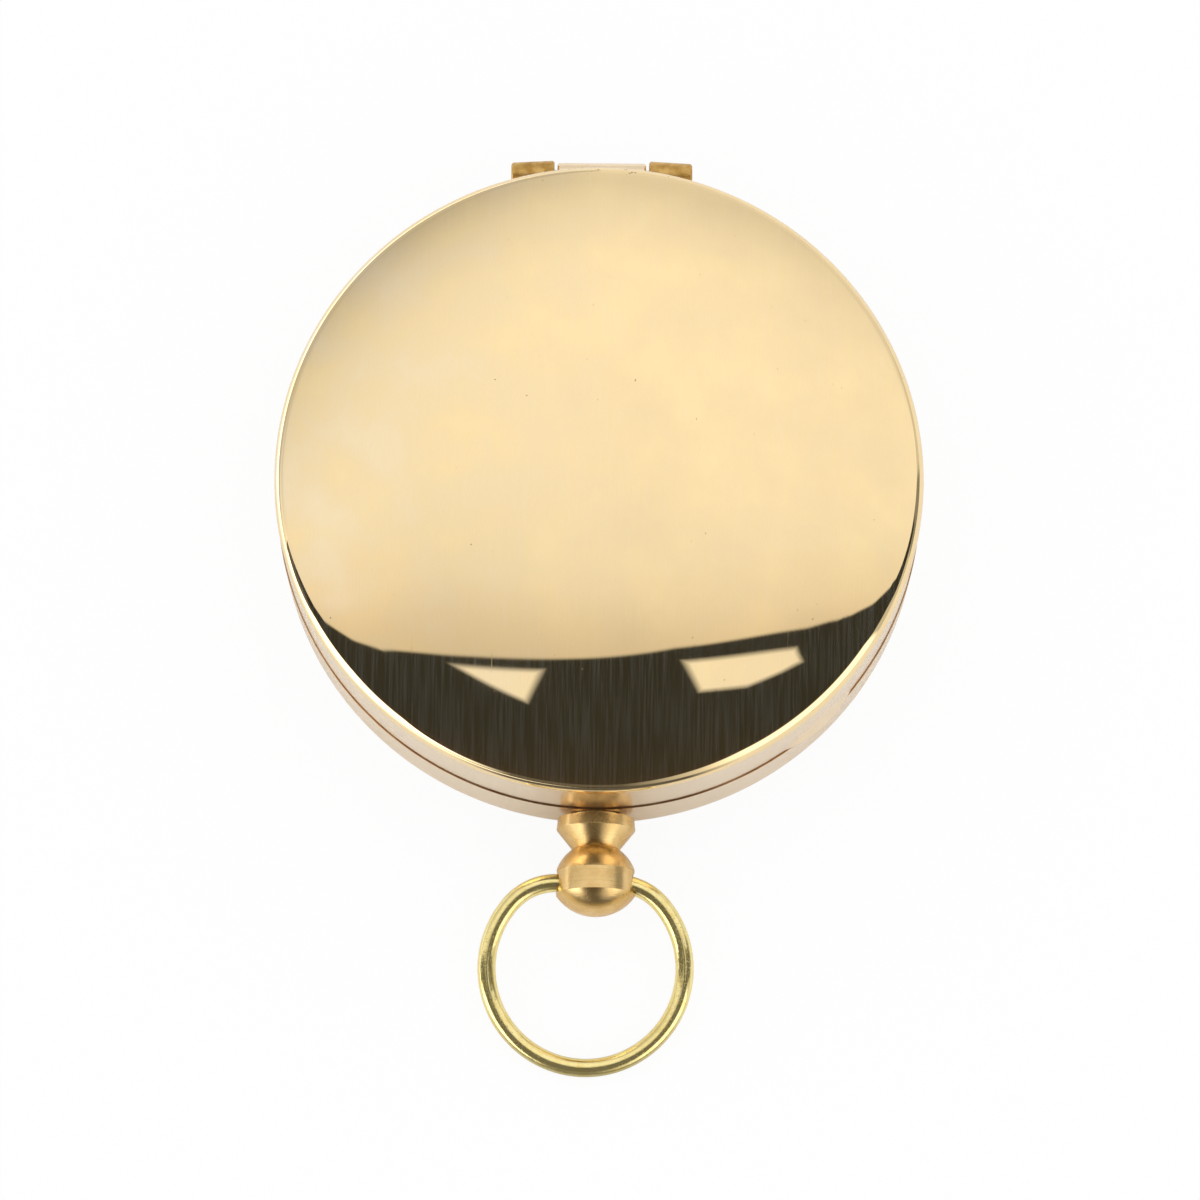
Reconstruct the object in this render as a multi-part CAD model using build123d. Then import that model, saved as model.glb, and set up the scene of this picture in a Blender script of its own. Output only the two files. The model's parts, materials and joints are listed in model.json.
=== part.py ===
from build123d import *
import math
import os

# Pocket compass: a turned brass case with a domed, hinged lid, a pendant with a ring, and a dry needle.
# Millimetres, +Z up. The origin is the middle of the case's flat bottom, +Y points to the hinge and -Y
# to the pendant. The lid is closed and the ring lies on the table.

# Case
case_radius = 27.7
case_floor = 1.2
case_bottom_round = 0.5
seam_height = 6.0
spigot_wall = 1.1
spigot_bevel = 0.25
edge_break = 0.08

# Lid
seam_ledge = 0.12
seam_gap = 0.15
lid_wall = 1.0
lid_clearance = 0.2
lid_skirt_height = 6.75
lid_shoulder_round = 1.3
lid_crown = 3.6
lid_dome_wall = 0.9
crown_bend_share = 2.8

# Thumb lip on the lid's lower edge
lip_azimuth = -46.5
lip_width = 7.7
lip_reach = 0.5
lip_height = 3.4

# Hinge
lid_knuckle_radius = 1.15
lid_knuckle_length = 7.76
case_knuckle_radius = 1.35
case_knuckle_end_radius = 1.15
case_knuckle_length = 3.77
knuckle_bevel = 0.15
hinge_gap = 0.27
hinge_clearance = 0.2
hinge_drop = 0.3
hinge_pin_radius = 0.55
hinge_pin_recess = 0.5
hinge_running_clearance = 0.06

# Dial, glass and what holds them
dial_thickness = 0.6
degree_ring_height = 4.4
degree_ring_top_width = 1.1
degree_ring_foot_width = 2.4
gasket_thickness = 0.3
gasket_width = 1.0
crystal_thickness = 1.0
crystal_side_gap = 0.1
bezel_thickness = 0.7
bezel_width = 1.4
bezel_bevel = 0.3

# Needle and its pivot
needle_height = 2.2
needle_thickness = 0.3
needle_half_width = 1.6
needle_boss_radius = 2.4
needle_tip_clearance = 2.0
cap_shank_radius = 1.2
cap_shank_drop = 0.4
cap_flange_radius = 1.9
cap_flange_thickness = 0.35
cap_crown_radius = 1.25
cap_crown_height = 0.75
cap_bore_radius = 0.8
cap_roof = 0.35
jewel_thickness = 0.6
jewel_cup_radius = 0.5
jewel_cup_depth = 0.35
pivot_play = 0.08
pivot_pin_radius = 0.35
pivot_point_length = 1.0
pivot_pin_grip = 1.6
bush_flange_radius = 2.2
bush_flange_thickness = 0.5
bush_boss_radius = 1.2
bush_boss_height = 0.8
bush_shank_radius = 1.0
bush_sink = 0.6
clip_distance = 9.0
clip_length = 1.4
clip_wall = 0.25

# Pendant: collar, cone and ball on one axis that points away from the case
pendant_lift = 0.1
stem_radius = 1.2
stem_grip = 2.0
collar_seat_radius = 2.2
collar_standoff = 0.3
collar_radius = 3.25
collar_ridge_radius = 3.35
collar_thickness = 1.0
cone_length = 1.76
neck_radius = 1.95
ball_radius = 3.5
ball_neck_to_band = 1.82
band_radius = 3.3
band_hole_overlap = 0.155
dome_radius = 3.42
dome_height = 1.85

# Ring
ring_radius = 8.4
wire_radius = 0.775
ring_end_turn = 49.5
ring_bend_in_hole = 1.625
ring_end_gap = 0.8
ring_side_shift = 0.78
ring_clearance = 0.1
ring_rest_gap = 0.05

# Fits shared by the pieces that do not move against each other, and the overrun of all cuts
seat_gap = 0.02
overrun = 1.0

# Sizes that follow from the ones above
lid_radius = case_radius - seam_ledge
lid_bore = lid_radius - lid_wall
spigot_radius = lid_bore - lid_clearance
case_bore = spigot_radius - spigot_wall
dial_top = case_floor + dial_thickness
gasket_bottom = dial_top + degree_ring_height
crystal_bottom = gasket_bottom + gasket_thickness
crystal_top = crystal_bottom + crystal_thickness
case_top = crystal_top + bezel_thickness
crystal_radius = case_bore - crystal_side_gap
seat_radius = case_bore - seat_gap
lid_bottom = seam_height + seam_gap
lid_rim = lid_bottom + lid_skirt_height

hinge_y = case_radius + hinge_clearance + lid_knuckle_radius
hinge_z = seam_height - hinge_drop
hinge_frame = Plane(origin=(0, hinge_y, hinge_z), x_dir=(0, 1, 0), z_dir=(1, 0, 0))
case_knuckle_start = lid_knuckle_length / 2 + hinge_gap
case_knuckle_end = case_knuckle_start + case_knuckle_length

pendant_height = collar_ridge_radius + pendant_lift
collar_ridge = collar_standoff + collar_thickness
neck = collar_ridge + cone_length
pendant_frame = Plane(origin=(0, -case_radius, pendant_height), x_dir=(1, 0, 0), z_dir=(0, -1, 0))

ring_end_straight = dome_radius + ring_side_shift - ring_bend_in_hole
ring_bend_offset = ring_end_straight / math.sin(math.radians(ring_end_turn))
ring_end_bend = ring_radius - ring_bend_offset
ring_middle = ring_end_bend + ring_bend_offset * math.cos(math.radians(ring_end_turn))
ring_bend_rise = ring_end_bend - math.sqrt(ring_end_bend**2 - ring_bend_in_hole**2)
ring_slope = math.asin((pendant_height - wire_radius - ring_rest_gap) / (ring_middle + ring_radius))

cross_hole_radius = wire_radius + ring_bend_rise + ring_clearance
band_length = 2 * (cross_hole_radius - band_hole_overlap)
band_start = neck + ball_neck_to_band
band_end = band_start + band_length
ball_middle = (band_start + band_end) / 2

needle_bottom = dial_top + needle_height
needle_top = needle_bottom + needle_thickness
needle_half_length = seat_radius - degree_ring_foot_width - needle_tip_clearance
cap_bottom = needle_bottom - cap_shank_drop
cap_flange_top = needle_top + cap_flange_thickness
cap_top = cap_flange_top + cap_crown_height
jewel_top = cap_top - cap_roof
jewel_bottom = jewel_top - jewel_thickness
pivot_tip = jewel_bottom + jewel_cup_depth - pivot_play
bush_top = dial_top + bush_flange_thickness + bush_boss_height


def turned(outline):
    """Solid turned about +Z from a closed outline whose points are (radius, height)."""
    return revolve(Plane.XZ * make_face(outline), Axis.Z)


def disc(radius, bottom, top, bore=0):
    """Round plate from bottom to top, with a bore if one is given."""
    plate = Pos(0, 0, bottom) * extrude(Circle(radius), top - bottom)
    if bore:
        plate -= Pos(0, 0, bottom - overrun) * extrude(Circle(bore), top - bottom + 2 * overrun)
    return plate


def slab(x, y, z):
    """Block between two ends along each axis, each given as (low, high)."""
    size = [high - low for low, high in (x, y, z)]
    middle = [(high + low) / 2 for low, high in (x, y, z)]
    return Pos(*middle) * Box(*size)


def crown(rim_radius, rim_height):
    """Half of the lid's crown: a cubic curve, flat in the middle and steepest at the rim."""
    bend = lid_crown * crown_bend_share / 3
    return Bezier(
        (rim_radius, rim_height),
        (rim_radius * 2 / 3, rim_height + bend),
        (rim_radius / 3, rim_height + lid_crown),
        (0, rim_height + lid_crown),
    )


def make_case_body():
    """Turned cup with a spigot for the lid, a hole for the pendant's stem and a seat for the bush."""
    body = turned(
        Polyline(
            (0, 0),
            (case_radius, 0),
            (case_radius, seam_height - edge_break),
            (case_radius - edge_break, seam_height),
            (spigot_radius, seam_height),
            (spigot_radius, case_top - spigot_bevel),
            (spigot_radius - spigot_bevel, case_top),
            (case_bore, case_top),
            (case_bore, case_floor),
            (0, case_floor),
            close=True,
        )
    )
    body = fillet(body.edges().group_by(Axis.Z)[0], case_bottom_round)
    hole_depth = stem_grip + seat_gap
    body -= pendant_frame * disc(stem_radius + seat_gap, -hole_depth, overrun)
    seat_bottom = case_floor - bush_sink - seat_gap
    body -= disc(bush_shank_radius + seat_gap, seat_bottom, case_floor + overrun)
    return body


def make_lid_cover():
    """Domed shell with a straight skirt, a rounded shoulder and a thumb lip."""
    inner_rim = lid_rim - lid_dome_wall
    outer_crown = crown(lid_radius, lid_rim)
    inner_crown = crown(lid_bore, inner_rim)
    walls = [
        Line(inner_crown @ 1, outer_crown @ 1),
        Polyline(
            (lid_radius, lid_rim),
            (lid_radius, lid_bottom + edge_break),
            (lid_radius - edge_break, lid_bottom),
            (lid_bore, lid_bottom),
            (lid_bore, inner_rim),
        ),
    ]
    cover = turned(Curve() + [outer_crown, inner_crown, *walls])
    shoulder = cover.edges().filter_by(GeomType.CIRCLE).group_by(Axis.Z)[-1]
    cover = fillet(shoulder, lid_shoulder_round)
    return cover + make_thumb_lip()


def make_thumb_lip():
    """Lens-shaped lip that grows out of the skirt downwards, widest at the lid's lower edge."""
    half_width = lip_width / 2
    rise = lip_reach + lid_radius - math.sqrt(lid_radius**2 - half_width**2)
    lip_radius = (half_width**2 + rise**2) / (2 * rise)
    lip = Cone(lip_radius, lip_radius - rise, lip_height, align=(Align.CENTER, Align.CENTER, Align.MIN))
    lip = Pos(lid_radius + lip_reach - lip_radius, 0, lid_bottom) * lip
    lip -= disc(lid_radius - lid_wall / 2, lid_bottom - overrun, lid_bottom + lip_height + overrun)
    return Rot(0, 0, lip_azimuth) * lip


def barrel(start, end, start_radius, end_radius, bore):
    """Hinge barrel along +X from start to end, bevelled at both ends, with a bore."""
    slant = knuckle_bevel
    outline = Polyline(
        (bore, start),
        (start_radius - slant, start),
        (start_radius, start + slant),
        (end_radius, end - slant),
        (end_radius - slant, end),
        (bore, end),
        close=True,
    )
    return hinge_frame * turned(outline)


def make_case_knuckle(side):
    """Outer barrel with the web that is soldered to the case wall; side is -1 for left, 1 for right."""
    bore = hinge_pin_radius + seat_gap
    knuckle = barrel(case_knuckle_start, case_knuckle_end, case_knuckle_radius, case_knuckle_end_radius, bore)
    web = slab(
        (case_knuckle_start + knuckle_bevel, case_knuckle_end - knuckle_bevel),
        (0, hinge_y - bore),
        (hinge_z - case_knuckle_end_radius, hinge_z),
    )
    web -= disc(case_radius + seat_gap, -overrun, seam_height + overrun)
    web -= hinge_line(bore)
    knuckle += web
    return knuckle if side > 0 else mirror(knuckle, about=Plane.YZ)


def hinge_line(radius):
    """Round bar along the hinge axis, longer than the hinge."""
    reach = case_knuckle_end + overrun
    return hinge_frame * disc(radius, -reach, reach)


def make_lid_knuckle():
    """Middle barrel with the web that is soldered to the lid's skirt."""
    bore = hinge_pin_radius + hinge_running_clearance
    half = lid_knuckle_length / 2
    knuckle = barrel(-half, half, lid_knuckle_radius, lid_knuckle_radius, bore)
    web = slab(
        (knuckle_bevel - half, half - knuckle_bevel),
        (0, hinge_y),
        (lid_bottom, hinge_z + lid_knuckle_radius),
    )
    web -= disc(lid_radius + seat_gap, -overrun, lid_rim)
    web -= hinge_line(bore)
    return knuckle + web


def make_hinge_pin():
    """Plain pin, held in the outer barrels, that ends inside them."""
    reach = case_knuckle_end - hinge_pin_recess
    return hinge_frame * disc(hinge_pin_radius, -reach, reach)


def make_pendant_collar():
    """Collar that swells to a ridge and narrows in a cone, bored for the ball's stem."""
    bore = stem_radius + seat_gap
    outline = Polyline(
        (bore, seat_gap),
        (collar_seat_radius, seat_gap),
        (collar_seat_radius, collar_standoff),
        (collar_radius - edge_break, collar_standoff),
        (collar_radius, collar_standoff + edge_break),
        (collar_ridge_radius, collar_ridge),
        (neck_radius, neck),
        (bore, neck),
        close=True,
    )
    return pendant_frame * turned(outline)


def make_pendant_ball():
    """Ball with a recessed band, a shallow domed end, a stem, and a cross hole for the ring."""
    neck_face = math.sqrt(ball_radius**2 - (ball_middle - neck) ** 2)
    shoulder = math.sqrt(ball_radius**2 - (ball_middle - band_start) ** 2)
    half_way = (neck_face + shoulder) / 2
    half_way_height = ball_middle - math.sqrt(ball_radius**2 - half_way**2)
    dome_curve = (dome_radius**2 + dome_height**2) / (2 * dome_height)
    dome_turn = math.asin(dome_radius / dome_curve) / 2
    dome_middle = band_end + dome_height - dome_curve
    outline = Curve() + [
        Polyline((0, -stem_grip), (stem_radius, -stem_grip), (stem_radius, neck), (neck_face, neck)),
        ThreePointArc((neck_face, neck), (half_way, half_way_height), (shoulder, band_start)),
        Polyline(
            (shoulder, band_start),
            (band_radius, band_start),
            (band_radius, band_end),
            (dome_radius, band_end),
        ),
        ThreePointArc(
            (dome_radius, band_end),
            (dome_curve * math.sin(dome_turn), dome_middle + dome_curve * math.cos(dome_turn)),
            (0, band_end + dome_height),
        ),
        Line((0, band_end + dome_height), (0, -stem_grip)),
    ]
    reach = ball_radius + overrun
    hole = Pos(0, 0, ball_middle) * Rot(0, 90, 0) * disc(cross_hole_radius, -reach, reach)
    return pendant_frame * (turned(outline) - hole)


def make_bail_ring():
    """Open wire ring: a large arc, a closer bend at each side and two straight ends in the cross hole."""
    turn = math.radians(ring_end_turn)
    joint = Vector(math.sin(turn), -math.cos(turn)) * ring_radius + Vector(0, ring_middle)
    bend_middle = Vector(ring_end_straight, ring_end_bend)
    bend_mid = bend_middle + Vector(math.sin(turn / 2), -math.cos(turn / 2)) * ring_end_bend
    far = Vector(0, ring_middle + ring_radius)
    side = Vector(ring_radius, ring_middle)
    inner_end = Vector(ring_end_gap / 2, 0)
    straight_end = Vector(ring_end_straight, 0)
    half_path = Wire(
        [
            Line(inner_end, straight_end).edge(),
            ThreePointArc(straight_end, bend_mid, joint).edge(),
            ThreePointArc(joint, side, far).edge(),
        ]
    )
    section = Plane(origin=inner_end, z_dir=(1, 0, 0)) * Circle(wire_radius)
    half_ring = sweep(section, half_path)
    ring = half_ring + mirror(half_ring, about=Plane.YZ)
    hole_y = -case_radius - ball_middle
    away = (0, -math.cos(ring_slope), -math.sin(ring_slope))
    frame = Plane(
        origin=(-ring_side_shift, hole_y, pendant_height),
        x_dir=(1, 0, 0),
        z_dir=Vector(1, 0, 0).cross(Vector(*away)),
    )
    return frame * ring


def make_degree_ring():
    """Ring round the dial with a sloping inner face."""
    outline = Polyline(
        (seat_radius, dial_top),
        (seat_radius, gasket_bottom),
        (seat_radius - degree_ring_top_width, gasket_bottom),
        (seat_radius - degree_ring_foot_width, dial_top),
        close=True,
    )
    return turned(outline)


def make_bezel_ring():
    """Ring that keeps the glass in, bevelled towards the glass."""
    inner = seat_radius - bezel_width
    outline = Polyline(
        (seat_radius, crystal_top),
        (seat_radius, case_top),
        (inner + bezel_bevel, case_top),
        (inner, case_top - bezel_bevel),
        (inner, crystal_top),
        close=True,
    )
    return turned(outline)


def make_pivot_bush():
    """Turned boss whose flange clamps the dial and whose shank sits in the case floor."""
    flange_top = dial_top + bush_flange_thickness
    outline = Polyline(
        (0, case_floor - bush_sink),
        (bush_shank_radius, case_floor - bush_sink),
        (bush_shank_radius, dial_top),
        (bush_flange_radius, dial_top),
        (bush_flange_radius, flange_top),
        (bush_boss_radius, flange_top),
        (bush_boss_radius, bush_top),
        (0, bush_top),
        close=True,
    )
    bore_bottom = bush_top - pivot_pin_grip - seat_gap
    return turned(outline) - disc(pivot_pin_radius + seat_gap, bore_bottom, bush_top + overrun)


def make_pivot_pin():
    """Steel pin with a ground point that carries the needle."""
    outline = Polyline(
        (0, bush_top - pivot_pin_grip),
        (pivot_pin_radius, bush_top - pivot_pin_grip),
        (pivot_pin_radius, pivot_tip - pivot_point_length),
        (0, pivot_tip),
        close=True,
    )
    return turned(outline)


def needle_width_at(distance):
    """Half width of the blade at a distance from its middle."""
    return needle_half_width * (1 - distance / needle_half_length)


def make_needle_blade():
    """Slender lozenge that lies along Y, with a round boss pierced for the cap."""
    lozenge = Polyline(
        (0, needle_half_length),
        (needle_half_width, 0),
        (0, -needle_half_length),
        (-needle_half_width, 0),
        close=True,
    )
    outline = make_face(lozenge) + Circle(needle_boss_radius) - Circle(cap_shank_radius + seat_gap)
    return Pos(0, 0, needle_bottom) * extrude(outline, needle_thickness)


def make_needle_cap():
    """Turned cap: a shank through the blade, a flange on it and a domed crown bored for the stone."""
    crown_bend = (cap_crown_radius**2 + cap_crown_height**2) / (2 * cap_crown_height)
    crown_turn = math.asin(min(1, cap_crown_radius / crown_bend)) / 2
    crown_middle = cap_top - crown_bend
    outline = Curve() + [
        Polyline(
            (0, jewel_top),
            (cap_bore_radius, jewel_top),
            (cap_bore_radius, cap_bottom),
            (cap_shank_radius, cap_bottom),
            (cap_shank_radius, needle_top),
            (cap_flange_radius, needle_top),
            (cap_flange_radius, cap_flange_top),
            (cap_crown_radius, cap_flange_top),
        ),
        ThreePointArc(
            (cap_crown_radius, cap_flange_top),
            (crown_bend * math.sin(crown_turn), crown_middle + crown_bend * math.cos(crown_turn)),
            (0, cap_top),
        ),
        Line((0, cap_top), (0, jewel_top)),
    ]
    return turned(outline)


def make_jewel_cup():
    """Bearing stone with a hollow cone ground in its underside."""
    outline = Polyline(
        (jewel_cup_radius, jewel_bottom),
        (cap_bore_radius - seat_gap, jewel_bottom),
        (cap_bore_radius - seat_gap, jewel_top),
        (0, jewel_top),
        (0, jewel_bottom + jewel_cup_depth),
        close=True,
    )
    return turned(outline)


def make_balance_clip():
    """Sleeve on the south arm whose place levels the needle."""
    inner = clip_distance - clip_length / 2
    outer = clip_distance + clip_length / 2
    half_width = needle_width_at(inner) + seat_gap
    low = needle_bottom - seat_gap
    high = needle_top + seat_gap
    sleeve = slab(
        (-half_width - clip_wall, half_width + clip_wall),
        (-outer, -inner),
        (low - clip_wall, high + clip_wall),
    )
    return sleeve - slab((-half_width, half_width), (-outer - overrun, overrun - inner), (low, high))


nodes = {
    "case_body": make_case_body(),
    "case_knuckle_left": make_case_knuckle(-1),
    "case_knuckle_right": make_case_knuckle(1),
    "hinge_pin": make_hinge_pin(),
    "pendant_collar": make_pendant_collar(),
    "pendant_ball": make_pendant_ball(),
    "dial_plate": disc(seat_radius, case_floor, dial_top, bush_shank_radius + seat_gap),
    "pivot_bush": make_pivot_bush(),
    "pivot_pin": make_pivot_pin(),
    "degree_ring": make_degree_ring(),
    "crystal_gasket": disc(crystal_radius, gasket_bottom, crystal_bottom, crystal_radius - gasket_width),
    "crystal": disc(crystal_radius, crystal_bottom, crystal_top),
    "bezel_ring": make_bezel_ring(),
    "needle_blade": make_needle_blade(),
    "needle_cap": make_needle_cap(),
    "jewel_cup": make_jewel_cup(),
    "balance_clip": make_balance_clip(),
    "lid_cover": make_lid_cover(),
    "lid_knuckle": make_lid_knuckle(),
    "bail_ring": make_bail_ring(),
}

os.makedirs("parts", exist_ok=True)
for name, node in nodes.items():
    export_step(node, f"parts/{name}.step")
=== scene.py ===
import json
import math

import bmesh
import bpy
import numpy as np
from mathutils import Matrix, Vector


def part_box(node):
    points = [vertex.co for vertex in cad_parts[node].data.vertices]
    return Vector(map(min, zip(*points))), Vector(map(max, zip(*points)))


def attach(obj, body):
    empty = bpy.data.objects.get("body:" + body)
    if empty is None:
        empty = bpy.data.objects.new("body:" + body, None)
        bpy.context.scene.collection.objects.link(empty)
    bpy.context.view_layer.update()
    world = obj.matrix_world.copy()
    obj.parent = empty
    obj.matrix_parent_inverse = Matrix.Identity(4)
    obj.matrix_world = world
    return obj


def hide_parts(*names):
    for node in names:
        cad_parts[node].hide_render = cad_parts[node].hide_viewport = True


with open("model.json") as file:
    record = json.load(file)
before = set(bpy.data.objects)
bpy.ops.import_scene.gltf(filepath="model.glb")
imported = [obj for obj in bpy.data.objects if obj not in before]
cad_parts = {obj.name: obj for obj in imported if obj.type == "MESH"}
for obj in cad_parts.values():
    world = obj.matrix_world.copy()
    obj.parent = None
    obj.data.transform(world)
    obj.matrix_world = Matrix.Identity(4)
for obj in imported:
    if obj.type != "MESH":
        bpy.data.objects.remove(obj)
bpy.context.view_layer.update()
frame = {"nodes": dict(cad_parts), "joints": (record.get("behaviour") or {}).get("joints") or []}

# Pocket compass, in metres: +Z up through the lid, +Y towards the hinge, -Y towards the pendant and its ring
MM = 0.001

# Places and sizes that the frame gives
case_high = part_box("case_body")[1]
lid_low, lid_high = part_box("lid_cover")
collar_low, collar_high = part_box("pendant_collar")
pin_low, pin_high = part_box("hinge_pin")
right_knuckle_low, right_knuckle_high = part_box("case_knuckle_right")
lid_knuckle_low, lid_knuckle_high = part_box("lid_knuckle")
dial_low, dial_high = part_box("dial_plate")
slope_low, slope_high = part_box("degree_ring")
bezel_low, bezel_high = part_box("bezel_ring")
blade_low, blade_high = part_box("needle_blade")
cap_low, cap_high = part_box("needle_cap")
joint_places = {joint["name"]: Vector(joint["pos_m"]) for joint in frame["joints"]}

case_radius = case_high.x
case_top = case_high.z
lid_radius = lid_high.x
lid_bottom = lid_low.z
lid_apex = lid_high.z
dial_top = dial_high.z
seat_radius = dial_high.x
hinge_y = joint_places["lid_hinge"].y
hinge_z = joint_places["lid_hinge"].z
ring_pivot = joint_places["bail_swing"]
pendant_height = ring_pivot.z

# Sizes of the case and the lid
seam_height = 6.0 * MM
bottom_round = 0.5 * MM
spigot_wall = 1.1 * MM
spigot_bevel = 0.25 * MM
case_floor = dial_low.z
edge_break = 0.08 * MM
lid_wall = 1.0 * MM
lid_clearance = 0.2 * MM
lid_crown = 3.6 * MM
lid_dome_wall = 0.9 * MM
shoulder_round = 1.3 * MM
lid_rim = lid_apex - lid_crown
lid_bore = lid_radius - lid_wall
spigot_radius = lid_bore - lid_clearance
case_bore = spigot_radius - spigot_wall
lip_azimuth = math.radians(-46.5)
lip_width = 7.7 * MM
lip_reach = 0.5 * MM
lip_height = 3.4 * MM
lip_blend = 0.05 * MM
seat_gap = 0.02 * MM
seam_middle = (seam_height + lid_bottom) / 2

# Sizes of the pendant and the ring
stem_radius = 1.2 * MM
stem_grip = 2.0 * MM
collar_seat_radius = 2.2 * MM
collar_standoff = 0.3 * MM
collar_radius = 3.25 * MM
collar_ridge_radius = collar_high.x
collar_ridge = 1.3 * MM
neck = -case_radius - collar_low.y
neck_radius = 1.95 * MM
ball_radius = 3.5 * MM
ball_middle = -case_radius - ring_pivot.y
cross_hole_radius = 1.1456 * MM
band_hole_overlap = 0.155 * MM
band_half = cross_hole_radius - band_hole_overlap
band_radius = 3.3 * MM
band_edge_break = 0.02 * MM
dome_radius = 3.42 * MM
dome_height = 1.85 * MM
ring_radius = 8.4 * MM
wire_radius = 0.775 * MM
ring_end_turn = math.radians(49.5)
ring_end_straight = 2.575 * MM
ring_end_gap = 0.8 * MM
ring_side_shift = 0.78 * MM
ring_rest_gap = 0.05 * MM

# Sizes of the hinge
knuckle_bevel = 0.15 * MM
knuckle_bore = 0.57 * MM
knuckle_end_radius = 1.15 * MM
knuckle_start_radius = right_knuckle_high.y - hinge_y
lid_knuckle_radius = lid_knuckle_high.y - hinge_y
lid_knuckle_bore = 0.61 * MM
pin_radius = pin_high.z - hinge_z

# Sizes of the parts under the glass
degree_top_width = 1.1 * MM
degree_foot_width = 2.4 * MM
bezel_bevel = 0.3 * MM
bezel_inner = seat_radius - 1.4 * MM
needle_half_width = 1.6 * MM
needle_boss_radius = blade_high.x
needle_half_length = blade_high.y
needle_bevel = 0.09 * MM
cap_flange_radius = cap_high.x
cap_shank_radius = 1.2 * MM
cap_crown_radius = 1.25 * MM
cap_flange_top = blade_high.z + 0.35 * MM
cap_bore = 0.8 * MM
cap_bore_top = cap_high.z - 0.35 * MM
ink_film = 0.012 * MM

# Sizes of the printing: lengths and widths of marks, sizes and places of letters
track_radius = 21.9 * MM
track_line = 0.14 * MM
inner_circle_radius = 12.6 * MM
inner_circle_line = 0.12 * MM
star_long_tip = 11.6 * MM
star_short_tip = 7.6 * MM
star_waist = 2.9 * MM
slope_tick_width = 0.12 * MM
slope_mark_width = 0.24 * MM
letter_size = 4.4 * MM
letter_radius = 16.6 * MM
figure_size = 2.5 * MM
figure_radius = 17.4 * MM

# Points of a mesh closer than this are merged, and edges over this angle in degrees stay crisp
MERGE_DISTANCE = 0.0002 * MM
SHARP_ANGLE = 30.0

# What a Mix node needs to mix colours, and the output that gives the mix
COLOURS = {"out": 2, "data_type": "RGBA"}


def hex_linear(code):
    """Linear RGBA of an sRGB colour such as "#F2DDB0"."""
    part = np.array([int(code[i:i + 2], 16) for i in (1, 3, 5)]) / 255
    linear = np.where(part <= 0.04045, part / 12.92, ((part + 0.055) / 1.055) ** 2.4)
    return (*linear.tolist(), 1.0)


def per_metre(*sizes_mm):
    """Scale of a pattern whose lumps have these sizes in millimetres along X, Y and Z."""
    return [1 / (size * MM) for size in sizes_mm]


def add(tree, kind, inputs=(), out=0, **settings):
    """Adds a shader node and returns one of its outputs. Settings are its properties. Inputs, by name or in
    order, are values, hex colours or the sockets that feed it."""
    made = tree.nodes.new("ShaderNode" + kind)
    for key, value in settings.items():
        setattr(made, key, value)
    for key, value in (inputs if isinstance(inputs, dict) else dict(enumerate(inputs))).items():
        if isinstance(value, bpy.types.NodeSocket):
            tree.links.new(value, made.inputs[key])
        else:
            made.inputs[key].default_value = hex_linear(value) if isinstance(value, str) else value
    return made.outputs[out] if made.outputs else made


def new_material(name):
    """Empty node material, its tree, and the Object coordinates that its patterns read."""
    material = bpy.data.materials.new(name)
    material.use_nodes = True
    tree = material.node_tree
    tree.nodes.clear()
    return material, tree, add(tree, "TexCoord", out="Object")


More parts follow.
